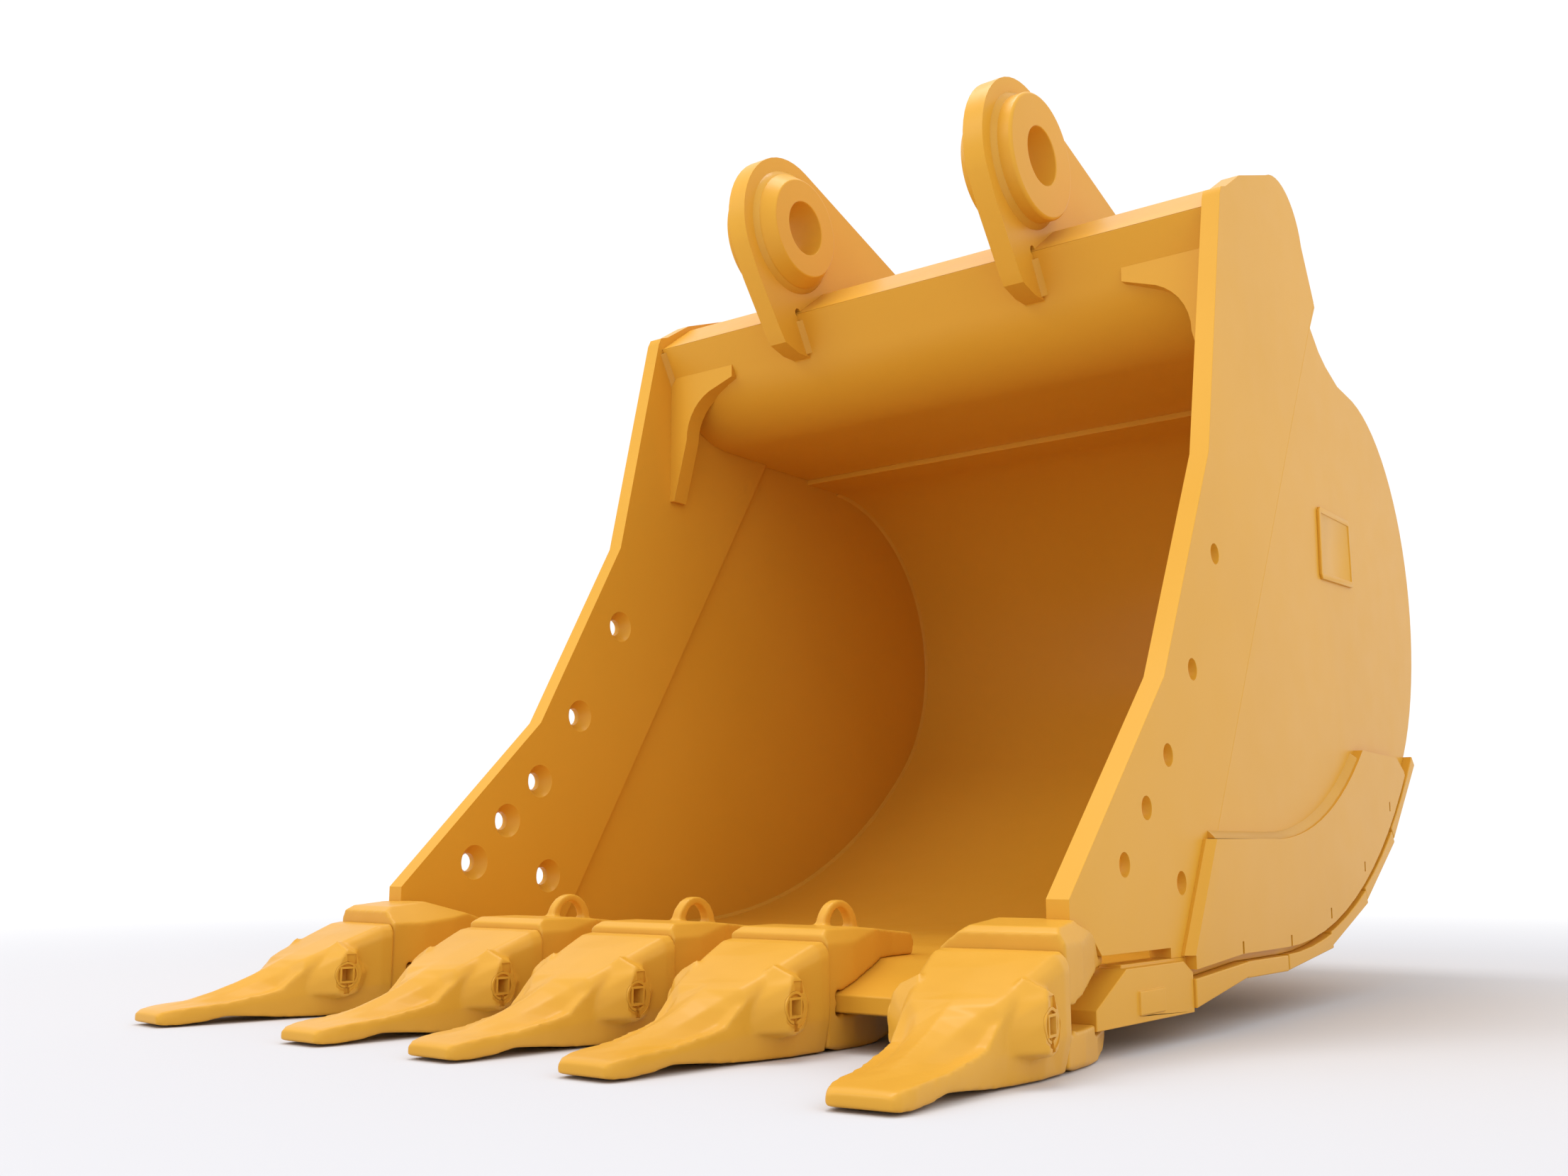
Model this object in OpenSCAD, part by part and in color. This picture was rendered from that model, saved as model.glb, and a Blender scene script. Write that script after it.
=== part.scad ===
// Excavator bucket with welded shell, hinge ears, five adapters and tips,
// and turning tip retainer locks. X runs across, Y rearwards, Z up.
// Profiles are drawn with Y = 0 at the lowest front corner of the side bars
// and Z = 0 at the plane under the tips; placed() moves them to the stick pin.

/* [Shell] */
// Width over the two side bars
bucket_w = 1300; // [1080:5:1600]
// Thickness of a side bar
side_bar_t = 32; // [24:1:40]
// Thickness of a side sheet
side_sheet_t = 18; // [12:1:22]
// Toe-in of each side sheet behind its side bar, in degrees
toe_in = 1.72; // [0:0.02:2.5]
// Thickness of the rolled floor and heel sheet
shell_t = 16; // [12:1:20]
// Inside radius of the heel
heel_r = 399; // [330:1:480]
// Thickness of the lip and bullnose plate
lip_t = 25; // [18:1:32]
// Thickness of the torque tube cover
cover_t = 14; // [10:1:18]
// Inside radius of the bullnose under the lip
bullnose_r = 212; // [176:1:256]

/* [Base edge] */
// Thickness of the base edge
edge_t = 65; // [50:1:78]
// Height of the blunt nose of the base edge
nose_h = 26; // [18:1:34]
// How far each end block stands out from its side bar
end_block_out = 12; // [6:1:18]

/* [Hinge ears] */
// Clear gap between the two ears
ear_gap = 498; // [400:2:600]
// Thickness of an ear
ear_t = 40; // [30:1:50]
// Pin bore diameter in all four bosses
pin_d = 110; // [90:1:132]
// How far a boss stands out on each side of its ear
boss_out = 37; // [20:1:45]
// Centre distance from the stick pin to the link pin
pin_spread = 558; // [460:1:670]
// Outer diameter of the stick pin bosses
stick_boss_d = 236; // [210:2:250]
// Outer diameter of the link pin bosses
link_boss_d = 190; // [170:2:192]
// Radius of the ear around the stick pin
ear_head_r = 155; // [145:1:165]
// Radius of the ear around the link pin
ear_tail_r = 120; // [110:1:125]

/* [Side cutter holes] */
// Through diameter of the side cutter bolt holes
cutter_hole_d = 33; // [26:1:36]
// Countersunk diameter on the inner face
cutter_sink_d = 62; // [50:1:66]
// Depth of the countersink
cutter_sink_h = 20; // [10:1:22]

/* [Teeth] */
// Spacing of the three middle teeth
tooth_pitch = 264; // [220:1:320]
// How far the corner tooth centres sit in from the side bars' outer faces
corner_inset = 60; // [56:1:64]
// Outward flare of the corner teeth, in degrees
corner_flare = 6.5; // [0:0.1:7]
// Width of a tip across its two lock bosses
tip_w = 202; // [168:1:244]
// Width of the tip's cutting edge
tip_edge_w = 92; // [70:1:100]
// Length of the tip
tip_len = 365; // [304:1:438]
// Radius of a retainer lock
lock_r = 20; // [16:0.5:24]
// Radial running clearance of a lock in its boss
lock_clear = 0.05; // [0.02:0.01:0.1]
// Square drive in a lock
lock_drive = 19; // [12:0.5:20]
// Width of an adapter's collar
collar_w = 162; // [135:1:196]
// Gap left all round between adapter nose and tip pocket
nose_clear = 0.6; // [0.3:0.1:0.9]
// Radius of the reliefs at the two corners of the base edge's nose
relief_r = 8; // [5:0.5:10]

/* [Wear parts] */
// Thickness of the heel wear strips
strip_t = 25; // [16:1:32]
// Gap between neighbouring heel wear strips
strip_gap = 11; // [6:1:24]
// Thickness of the side wear plates
side_wear_t = 16; // [10:1:20]
// Thickness of the blank badge plates
badge_t = 5; // [3:1:8]
// Small gap left where curved welded faces meet
seat_gap = 0.3; // [0.1:0.1:0.5]

/* [Hidden] */
$fn = 64;
paint = "#E2A33C";
far = 2000;

// Stick pin, the origin of the part, and link pin, as [y, z] in the drawing plane
stick_pin = [630, 1512];
pin_fall = 14.8;
link_pin = stick_pin + pin_spread * [cos(pin_fall), -sin(pin_fall)];
half_w = bucket_w / 2;
bar_in = half_w - side_bar_t;

// Bowl: floor, floor arc, heel arc and top, all on the inner face
floor_z = 111;
floor_c = [742, 1292];
floor_r = floor_c[1] - floor_z;
blend_a = -44.07;
heel_c = floor_c + (floor_r - heel_r) * [cos(blend_a), sin(blend_a)];
ledge_y = 1198;
ledge_step = 11;
edge_top = floor_z + 1;
edge_back = 345;
edge_nose_y = -60;

// Lip: top front corner and the slope of its face
lip_top = [648, 1342];
lip_a = -60;
tube_floor_z = heel_c[1] + heel_r + ledge_step;

// The side sheet bends inwards along this line behind the side bar
seam_a = 58.6;
seam_foot = [395, 133];

// Tooth frame
tooth_x = [-(half_w - corner_inset), -tooth_pitch, 0, tooth_pitch, half_w - corner_inset];
tooth_flare = [-corner_flare, 0, 0, 0, corner_flare];
tip_back_y = -84;
lock_at = [-173, 66];

// Sections of adapter nose and tip: [half width, bottom, top]
nose_back = [68, 22, 128];
nose_front = [50, 36, 70];
nose_tip_y = -222;
tip_rear = [88, 3, 142];
tip_plateau = [67, 3, 98];
tip_plateau_y = -217;
tip_scoop = [62, 4, 68];
tip_scoop_y = -240;
blade_len = 66;
blade_flare = 4;

// Lock, across the tooth: a plug with a half-round lug on its inner end
plug_in = 62;
plug_recess = 3;
lug_in = 50;
lug_r = 12;

// Lifting eye bar on the three middle adapters
eye_y = 52;
eye_r = 43;
eye_bar = 18;
eye_t = 16;

function arc(c, r, a0, a1, n) = [for (i = [0:n]) along(c, a0 + (a1 - a0) * i / n, r)];
function reversed(p) = [for (i = [len(p) - 1:-1:0]) p[i]];
function along(p, a, s) = p + s * [cos(a), sin(a)];

// ---------------------------------------------------------------- placing

module placed() { translate([0, -stick_pin[0], -stick_pin[1]]) children(); }

// Extrudes a [y, z] drawing from x0 to x1
module across(x0, x1) { translate([x0, 0, 0]) rotate([90, 0, 90]) linear_extrude(x1 - x0) children(); }

module both_ways(side) { if (side > 0) children(); else mirror([1, 0, 0]) children(); }

module bore_x(p, d, x0, x1) { translate([x0, p[0], p[1]]) rotate([0, 90, 0]) cylinder(d = d, h = x1 - x0); }

// Extrudes an [x, depth behind the seam] drawing along the seam line
module along_seam() {
    translate([0, seam_foot[0], seam_foot[1]]) rotate([seam_a - 90, 0, 0])
        translate([0, 0, -400]) linear_extrude(far) children();
}

// ---------------------------------------------------------------- drawings

function bowl_line(o) = concat(
    [[edge_back, floor_z - 12 - o], [540, floor_z - o]],
    arc(floor_c, floor_r + o, -90, blend_a, 14),
    arc(heel_c, heel_r + o, blend_a, 90, 26));

module bowl_area(o) {
    polygon(concat([[edge_back - 60, floor_z - 15 - o]], bowl_line(o),
        [[ledge_y, 1100], [edge_back - 60, 1100]]));
}

// Straight lip face, bullnose and flat tube floor; o is the depth behind the face
lip_n = [cos(lip_a + 90), sin(lip_a + 90)];
lip_corner = lip_top + [-(lip_top[1] - tube_floor_z) / tan(lip_a), tube_floor_z - lip_top[1]];
bullnose_c = along(lip_corner, lip_a + 180, bullnose_r * tan(-lip_a / 2)) + bullnose_r * lip_n;
function lip_line(o) = concat([lip_top + o * lip_n], arc(bullnose_c, bullnose_r - o, 270 + lip_a, 270, 12));

lobe_c = [932, 1364];
lobe_r = 124;
function lobe_line(o) = concat(
    [[735, 1421] + o * [0.45, -0.9]], arc(lobe_c, lobe_r - o, 118, 14, 12), [[1112, 1290] + o * [-0.9, 0.2]]);

// Slope from the foot of the torque tube down to the top of the heel sheet
heel_top = heel_c[1] + heel_r + shell_t;
ramp = [[1078, 1236], [1123, 1201], [1164, 1184]];
ramp_end = [1236, heel_top];

// Outline of the whole side, clockwise from the lowest front corner
module side_area() {
    polygon(concat(
        [[0, 198], [318, 503], [530, 880], [638, 1352], [646, 1368], [667, 1376]],
        lobe_line(0),
        [[1076, 1239], [1124, 1205], [1165, 1187], [1240, heel_top + 3]],
        reversed(bowl_line(shell_t)),
        [[edge_back, edge_top], [300, edge_top], [300, edge_top + 14], [86, edge_top + 14],
         [60, 150], [0, 172]]));
}

module bar_area() {
    intersection() {
        side_area();
        polygon([seam_foot - 400 * [cos(seam_a), sin(seam_a)], along(seam_foot, seam_a, far),
            along(seam_foot, seam_a, far) - [far, 0], seam_foot - [far, 400]]);
    }
}

toe_len = 1500;
toe_drop = tan(toe_in) * toe_len;

// [x, depth] strip of thickness t whose outer face lies o outside the side sheet's
module toe_strip(o, t, start) {
    polygon([[half_w + o - t, start], [half_w + o, start], [half_w + o, 0.01],
        [half_w + o - toe_drop, toe_len], [half_w + o - t - toe_drop, toe_len], [half_w + o - t, 0.01]]);
}

// Space between the two sides
module between_sides() {
    w = half_w - side_sheet_t - 0.02;
    b = bar_in - 0.02;
    along_seam() polygon([[-b, -toe_len], [b, -toe_len], [b, 0], [w, 0], [w - toe_drop, toe_len],
        [-w + toe_drop, toe_len], [-w, 0], [-b, 0]]);
}

// ---------------------------------------------------------------- shell

cutter_holes = [[534, 715], [423, 523], [320, 391], [240, 315], [163, 239], [348, 213]];

module side_bar(side) {
    color(paint) placed() both_ways(side) difference() {
        across(bar_in, half_w) bar_area();
        for (p = cutter_holes) {
            bore_x(p, cutter_hole_d, bar_in - 1, half_w + 1);
            translate([bar_in, p[0], p[1]]) rotate([0, 90, 0])
                translate([0, 0, -0.01]) cylinder(d1 = cutter_sink_d, d2 = cutter_hole_d, h = cutter_sink_h);
        }
    }
}

module side_sheet(side) {
    color(paint) placed() both_ways(side) intersection() {
        along_seam() toe_strip(0, side_sheet_t, 0.01);
        across(bar_in - 60, half_w + 1) side_area();
    }
}

module lip_plate() {
    color(paint) placed() intersection() {
        across(-half_w, half_w) polygon(concat(lip_line(0), [[ledge_y, tube_floor_z]],
            [[ledge_y, heel_top]], [[1130, tube_floor_z + lip_t]], reversed(lip_line(lip_t))));
        between_sides();
    }
}

// Cover outline: out of the lip's top edge, over the lobe and down to the rear plate
module torque_tube_cover() {
    color(paint) placed() intersection() {
        across(-half_w, half_w) polygon(concat(
            [lip_top], lobe_line(10), [ramp[0]],
            [ramp[0] + [-cover_t - 4, 3]], reversed(lobe_line(10 + cover_t)), [lip_top + lip_t * lip_n]));
        between_sides();
    }
}

module torque_tube_rear_plate() {
    color(paint) placed() intersection() {
        across(-half_w, half_w) polygon(concat([ramp[0] + [-cover_t - 4, 3]], ramp,
            [ramp_end, [ledge_y, heel_top], [1130, tube_floor_z + lip_t], [1108, tube_floor_z + lip_t]]));
        between_sides();
    }
}

module heel_sheet() {
    color(paint) placed() intersection() {
        across(-half_w, half_w) polygon(concat(bowl_line(0),
            [[ledge_y, heel_top - shell_t], [ledge_y, heel_top]], reversed(bowl_line(shell_t))));
        between_sides();
    }
}

// ---------------------------------------------------------------- base edge

edge_bottom = edge_top - edge_t;
block_bottom = edge_bottom - 9;
block_nose_h = 25;

// Base edge drawing with its nose and bevel moved out by g
function edge_nose(g) = [[edge_nose_y + 22, edge_bottom], [edge_nose_y - g, edge_bottom + 4 - g],
    [edge_nose_y - g, edge_bottom + nose_h + g], [40, edge_top - 7 + g], [62, edge_top]];

module base_edge() {
    color(paint) placed() across(-bar_in, bar_in)
        polygon(concat(edge_nose(0), [[edge_back, edge_top], [edge_back, edge_bottom]]));
}

module end_block(side) {
    color(paint) placed() both_ways(side) {
        across(bar_in, half_w + end_block_out) polygon([[40, block_bottom],
            [40, block_bottom + block_nose_h], [125, edge_top - 7], [132, edge_top - 4],
            [edge_back - 30, edge_top - 4], [edge_back, 92], [edge_back, block_bottom]]);
        across(bar_in, half_w) polygon([[140, edge_top - 5], [140, edge_top], [edge_back, edge_top],
            [edge_back, edge_top - 20]]);
        across(half_w + end_block_out, half_w + end_block_out + 3) translate([163, block_bottom + 10])
            square([80, 30]);
    }
}

// ---------------------------------------------------------------- hinge ears

// Ear drawing: head around the stick pin, tail around the link pin, hooked foot
module ear_area() {
    lean = asin((ear_head_r - ear_tail_r) / pin_spread);
    top_a = 90 - pin_fall - lean;
    polygon(concat(
        [[596, 1290], [522, 1390]], arc(stick_pin, ear_head_r, 205, top_a, 18),
        arc(link_pin, ear_tail_r, top_a, -32, 16),
        [[1350, 1163], [1340, 1120], [1130, 1170], [760, 1200], [694, 1261], [656, 1261], [612, 1272]]));
}

// Everything the ears stand on: lip face, tube cover, rear plate and heel sheet
module ear_seat() {
    polygon(concat([lip_top], lobe_line(10), ramp, [ramp_end], reversed(bowl_line(shell_t)),
        [[ledge_y, 900]], reversed(lip_line(0))));
}

module ear(side) {
    inner = ear_gap / 2;
    color(paint) placed() both_ways(side) difference() {
        across(inner, inner + ear_t) difference() {
            ear_area();
            ear_seat();
            translate(lip_top + [4, 4]) circle(9);
        }
        bore_x(stick_pin, stick_boss_d + 2 * seat_gap, inner - 1, inner + ear_t + 1);
        bore_x(link_pin, link_boss_d + 2 * seat_gap, inner - 1, inner + ear_t + 1);
    }
}

// A boss goes through its ear; its inner rim has a wide chamfer, its outer rim a small one
module boss(p, d, side) {
    inner = ear_gap / 2 - boss_out;
    outer = ear_gap / 2 + ear_t + boss_out;
    rim_in = 18;
    rim_out = 4;
    color(paint) placed() both_ways(side) translate([inner, p[0], p[1]]) rotate([0, 90, 0])
        rotate_extrude() polygon([[pin_d / 2, 0], [d / 2 - rim_in, 0], [d / 2, 26],
            [d / 2, outer - inner - rim_out], [d / 2 - rim_out, outer - inner], [pin_d / 2, outer - inner]]);
}

// Plate across each upper corner of the mouth, with a hollow inner edge
module gusset(side) {
    plate_y = 681;
    leg = 171;
    color(paint) placed() both_ways(side) difference() {
        translate([bar_in - leg, plate_y, 0]) rotate([90, 0, 0]) mirror([0, 0, 1]) linear_extrude(40)
            polygon(concat([[0, 1257], [0, 1283], [leg - 14, 1283], [leg, 1266], [leg, 1007],
                [leg - 12, 1006]], arc([22, 1141], 103, -2, 76, 8)));
        across(0, half_w) polygon(concat(lip_line(0), [bullnose_c]));
    }
}

// ---------------------------------------------------------------- wear parts

wear_overlap = 42;
wear_slots = [[539, 116], [766, 116], [988, 153], [1210, 231], [1406, 346]];

module side_wear_plate(side) {
    color(paint) placed() both_ways(side) difference() {
        intersection() {
            along_seam() toe_strip(side_wear_t, side_wear_t, -wear_overlap);
            across(half_w - 60, half_w + 40) polygon(concat(
                [[349, 60], [349, 114], [330, 114], [427, 275], [706, 277]],
                arc([706, 1177], 900, -88, -54.2, 12), [[1478, 445], [1530, 420], [1600, 300], [1400, 60]]));
            across(half_w - 60, half_w + 40) bowl_area(4);
        }
        along_seam() translate([half_w + side_wear_t, -wear_overlap]) rotate(45)
            square(side_wear_t, center = true);
        for (p = wear_slots)
            translate([half_w - 60, p[0], p[1]]) rotate([0, 90, 0]) linear_extrude(120)
                square([18, 7], center = true);
    }
}

module badge_plate(side) {
    color(paint) placed() both_ways(side) intersection() {
        along_seam() toe_strip(badge_t, badge_t, 0.01);
        across(half_w - 60, half_w + 40) polygon([[1062, 762], [1062, 882], [1070, 890], [1252, 895],
            [1260, 887], [1268, 772], [1260, 764], [1070, 754]]);
    }
}

// Half width out to the side wear plate's outer face at a point of the drawing
function wear_half(p) = half_w + side_wear_t
    - tan(toe_in) * max(0, (p[0] - seam_foot[0]) * sin(seam_a) - (p[1] - seam_foot[1]) * cos(seam_a));

module bottom_wear_plate() {
    w = wear_half([edge_back, 80]);
    color(paint) placed() across(-w, w) difference() {
        polygon([[edge_back, 43], [edge_back, 130], [538, 130], [552, 92], [552, 74]]);
        bowl_area(shell_t + seat_gap);
    }
}

strip_pitch = 11.2;
strip_first = -89.2;
strip_last = -44.4;
strip_lap = 30;

// Flat bar across the outside of the bowl; the first lies under the flat floor
module heel_strip(i) {
    open_a = strip_gap / floor_r * 180 / PI;
    a0 = strip_first + (i - 2) * strip_pitch;
    a1 = i == 5 ? strip_last : a0 + strip_pitch - open_a;
    r = floor_r + shell_t + strip_t;
    front = i == 1 ? [552 + strip_gap, floor_c[1] - r] : floor_c + r * [cos(a0), sin(a0)];
    back = i == 1 ? floor_c + [-2, -r] : floor_c + r * [cos(a1), sin(a1)];
    front_in = i == 1 ? front + [0, strip_lap] : floor_c + (r - strip_lap) * [cos(a0), sin(a0)];
    back_in = i == 1 ? back + [0, strip_lap] : floor_c + (r - strip_lap) * [cos(a1), sin(a1)];
    w = wear_half((front + back) / 2);
    color(paint) placed() across(-w, w) difference() {
        polygon([front, back, back_in, front_in]);
        bowl_area(shell_t + seat_gap);
    }
}

// ---------------------------------------------------------------- teeth

module at_tooth(i) {
    placed() translate([tooth_x[i - 1], 0, 0]) rotate([0, 0, tooth_flare[i - 1]]) children();
}

function is_corner(i) = i == 1 || i == 5;

// Tapered wedge between two x-z rectangles: [half width, bottom, top] at y0 and y1
module wedge(y0, s0, y1, s1) {
    hull() {
        translate([-s0[0], y0, s0[1]]) cube([2 * s0[0], 0.01, s0[2] - s0[1]]);
        translate([-s1[0], y1, s1[1]]) cube([2 * s1[0], 0.01, s1[2] - s1[1]]);
    }
}

module nose(extra) {
    grow = [extra, -extra, extra];
    wedge(tip_back_y, nose_back + grow, nose_tip_y - extra, nose_front + grow);
}

// Draws in the bucket's own directions inside a tooth's frame
module from_tooth(i) {
    rotate([0, 0, -tooth_flare[i - 1]]) translate([-tooth_x[i - 1], 0, 0]) children();
}

module adapter(i) {
    corner = is_corner(i);
    top = corner ? 168 : 157;
    strap_end = corner ? 120 : 172;
    color(paint) at_tooth(i) difference() {
        union() {
            nose(0);
            translate([-nose_back[0], tip_back_y - 0.01, nose_back[1]])
                cube([2 * nose_back[0], 20, nose_back[2] - nose_back[1]]);
            intersection() {
                rotate([90, 0, 90]) translate([0, 0, -84]) linear_extrude(168) polygon([
                    [tip_back_y + nose_clear, 8], [tip_back_y + nose_clear, top - 8], [-70, top],
                    [0, top + (corner ? 7 : 0)], [strap_end - 10, 143], [strap_end, 130],
                    [strap_end - 16, 80], [116, 30], [104, 10], [40, 3], [-2, 1.5], [-50, 1.5]]);
                mirror([i == 1 ? 1 : 0, 0, 0]) collar_section(top, corner);
            }
            if (!corner) lifting_eye(top);
        }
        from_tooth(i) across(-far, far) {
            polygon(concat(edge_nose(seat_gap), [[400, edge_top], [400, edge_bottom]]));
            translate([edge_nose_y + relief_r / 2, edge_bottom + nose_h - 2]) circle(relief_r);
            translate([edge_nose_y + relief_r / 2, edge_bottom + 6]) circle(relief_r);
        }
        for (s = [-1, 1]) {
            lock_pocket(s);
            mirror([s < 0 ? 1 : 0, 0, 0]) translate([0, 0, -10]) linear_extrude(260)
                polygon([[collar_w / 2 + 0.1, tip_back_y - 9], [collar_w / 2 + 0.1, -24],
                    [collar_w / 2 - 8, 40], [58, 105], [50, 200], [95, 200], [95, tip_back_y - 9]]);
        }
        if (corner) from_tooth(i) both_ways(i == 1 ? -1 : 1) corner_cut();
    }
}

// Collar across the bucket: chamfered top edges, the inner one deeper on a corner adapter
module collar_section(top, corner) {
    w = collar_w / 2;
    wide = corner ? 44 : 16;
    deep = corner ? 34 : 18;
    rotate([90, 0, 0]) linear_extrude(far / 2, center = true) polygon([[-w, 8], [-w, top + 7 - deep],
        [-w + wide, top + 8], [w - 16, top + 8], [w, top - 20], [w, 8], [w - 8, 0], [-w + 8, 0]]);
}

// Round pocket for the lock's half-round lug, open to the front below the axis
module lock_pocket(s) {
    mirror([s < 0 ? 1 : 0, 0, 0]) translate([lug_in - 3, lock_at[0], lock_at[1]]) {
        rotate([0, 90, 0]) cylinder(r = lug_r + 1, h = 40);
        translate([0, -60, -lug_r - 1]) cube([40, 60, lug_r + 1]);
    }
}

// Side bar and end block, with a little room, that the corner adapters wrap
module corner_cut() {
    across(bar_in - seat_gap, half_w + 40) translate([-0.5, -0.5]) side_area();
    across(bar_in - seat_gap, half_w + 40) polygon([[39, block_bottom - 3],
        [39, block_bottom + block_nose_h + 1], [124, edge_top - 6], [400, edge_top + 1],
        [400, block_bottom - 3]]);
}

module lifting_eye(top) {
    translate([-eye_t / 2, 0, 0]) rotate([90, 0, 90]) linear_extrude(eye_t) difference() {
        translate([eye_y, top - 10]) circle(eye_r);
        translate([eye_y, top - 3]) circle(eye_r - eye_bar);
        translate([-20, 60]) square([150, top - 66]);
    }
}

// Tip: body over the adapter nose, blade in front, a lock boss on each side
module tip(i) {
    edge_y = tip_back_y - tip_len;
    blade_root = [tip_edge_w / 2 + blade_flare, 3, 31];
    color(paint) at_tooth(i) difference() {
        union() {
            wedge(tip_back_y, tip_rear, tip_plateau_y, tip_plateau);
            wedge(tip_plateau_y + 0.1, tip_plateau - [1, 0, 0], tip_scoop_y, tip_scoop);
            wedge(tip_scoop_y + 0.1, tip_scoop, edge_y + blade_len, blade_root);
            wedge(edge_y + blade_len + 0.1, blade_root, edge_y, [tip_edge_w / 2 - 1, 3, 24]);
            for (s = [-1, 1]) tip_boss(s);
        }
        nose(nose_clear);
        for (s = [-1, 1]) mirror([s < 0 ? 1 : 0, 0, 0]) translate([lug_in, lock_at[0], lock_at[1]])
            rotate([0, 90, 0]) cylinder(r = lock_r + lock_clear, h = tip_w);
    }
}

// Pad around a lock: its front slants out of the flank to a flat face round the lock
module tip_boss(s) {
    foot_x = 60;
    mirror([s < 0 ? 1 : 0, 0, 0]) rotate([90, 0, 90]) hull() {
        translate([0, 0, lug_in]) linear_extrude(foot_x - lug_in) polygon([[-236, 36], [-230, 64],
            [-178, 118], [-130, 112], [tip_back_y - 22, 72], [-126, 34], [-190, 24]]);
        translate([0, 0, tip_w / 2 - 1]) linear_extrude(1) polygon([[-197, 38], [-197, 84], [-178, 104],
            [-158, 104], [-147, 66], [-156, 34], [-184, 32]]);
    }
}

// Lock: round plug in the tip boss; its half-round lug holds in the adapter nose's pocket
module lock(i, side) {
    color(paint) at_tooth(i) mirror([side < 0 ? 1 : 0, 0, 0])
        translate([0, lock_at[0], lock_at[1]]) rotate([0, 90, 0]) difference() {
            union() {
                translate([0, 0, plug_in]) cylinder(r = lock_r, h = tip_w / 2 - plug_in - plug_recess);
                translate([0, 0, lug_in]) intersection() {
                    cylinder(r = lug_r, h = plug_in - lug_in + 1);
                    translate([-lug_r, -lug_r, 0]) cube([lug_r, 2 * lug_r, plug_in - lug_in + 1]);
                }
            }
            translate([-lock_drive / 2, -lock_drive / 2, tip_w / 2 - 20]) cube([lock_drive, lock_drive, 30]);
            translate([-6, lock_r - 5, tip_w / 2 - 14]) cube([12, 10, 30]);
        }
}

// ---------------------------------------------------------------- drawing

side_bar(-1);  // side_bar_left
side_bar(1);  // side_bar_right
side_sheet(-1);  // side_sheet_left
side_sheet(1);  // side_sheet_right
lip_plate();
torque_tube_cover();
torque_tube_rear_plate();
heel_sheet();
base_edge();
end_block(-1);  // end_block_left
end_block(1);  // end_block_right
ear(-1);  // ear_left
ear(1);  // ear_right
boss(stick_pin, stick_boss_d, -1);  // stick_pin_boss_left
boss(stick_pin, stick_boss_d, 1);  // stick_pin_boss_right
boss(link_pin, link_boss_d, -1);  // link_pin_boss_left
boss(link_pin, link_boss_d, 1);  // link_pin_boss_right
gusset(-1);  // gusset_left
gusset(1);  // gusset_right
side_wear_plate(-1);  // side_wear_plate_left
side_wear_plate(1);  // side_wear_plate_right
badge_plate(-1);  // badge_plate_left
badge_plate(1);  // badge_plate_right
bottom_wear_plate();
for (i = [1:5]) {
    heel_strip(i);
    adapter(i);
    tip(i);
    lock(i, -1);
    lock(i, 1);
}
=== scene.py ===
"""Looks of a five-tooth excavator bucket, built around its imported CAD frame.

The CAD plates keep their shape and get rounded edges and paint. The cast tips, the cast
adapters, the retainer locks, the weld beads and the blank badges are modelled here.
Lengths in the dataclasses are millimetres in the part's own frame unless a name says
otherwise: X across the bucket, Y rearwards, Z up, with the origin at the stick pin.
"""

from __future__ import annotations

import logging
import math
from dataclasses import dataclass, field
from enum import Enum
from typing import Sequence

import bmesh
import bpy
from mathutils import Matrix, Vector

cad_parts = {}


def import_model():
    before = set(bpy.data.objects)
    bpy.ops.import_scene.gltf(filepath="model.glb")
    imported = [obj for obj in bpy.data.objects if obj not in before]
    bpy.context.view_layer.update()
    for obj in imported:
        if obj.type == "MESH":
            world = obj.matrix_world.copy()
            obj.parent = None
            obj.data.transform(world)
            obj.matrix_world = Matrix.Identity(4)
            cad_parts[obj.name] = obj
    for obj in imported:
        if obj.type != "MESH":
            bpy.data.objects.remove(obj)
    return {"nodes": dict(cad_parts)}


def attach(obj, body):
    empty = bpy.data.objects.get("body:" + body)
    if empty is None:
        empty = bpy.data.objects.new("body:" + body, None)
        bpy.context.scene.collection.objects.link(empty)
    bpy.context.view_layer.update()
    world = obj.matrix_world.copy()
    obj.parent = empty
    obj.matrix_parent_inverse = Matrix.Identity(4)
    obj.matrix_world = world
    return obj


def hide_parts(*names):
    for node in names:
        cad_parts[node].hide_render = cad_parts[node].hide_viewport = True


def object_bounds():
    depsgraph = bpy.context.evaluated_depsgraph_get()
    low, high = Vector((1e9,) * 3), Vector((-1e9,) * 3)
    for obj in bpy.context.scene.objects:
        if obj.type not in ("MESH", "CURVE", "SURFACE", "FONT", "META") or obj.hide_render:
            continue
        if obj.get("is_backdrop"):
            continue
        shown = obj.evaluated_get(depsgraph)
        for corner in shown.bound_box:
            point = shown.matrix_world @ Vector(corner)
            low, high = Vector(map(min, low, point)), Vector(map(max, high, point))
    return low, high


LOG = logging.getLogger("bucket")
MM = 0.001
ROOT = "bucket"

# The drawing's zero, the lowest front corner of the side bars, seen from the stick pin.
DRAWING_Y = -630.0
DRAWING_Z = -1512.0


class Side(Enum):
    """Left or right half of the bucket, as the sign of X."""

    LEFT = -1
    RIGHT = 1

    @property
    def word(self) -> str:
        """The side as it stands in a node's name."""
        return self.name.lower()


# ------------------------------------------------------------------ small tools


def srgb(hex_colour: str) -> tuple[float, float, float, float]:
    """Turns an sRGB hex colour into linear RGBA.

    Args:
        hex_colour: Colour as "#RRGGBB".

    Returns:
        Linear red, green, blue and an alpha of one.
    """
    parts = [int(hex_colour[i : i + 2], 16) / 255 for i in (1, 3, 5)]
    linear = [c / 12.92 if c <= 0.04045 else ((c + 0.055) / 1.055) ** 2.4 for c in parts]
    return (linear[0], linear[1], linear[2], 1.0)


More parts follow.
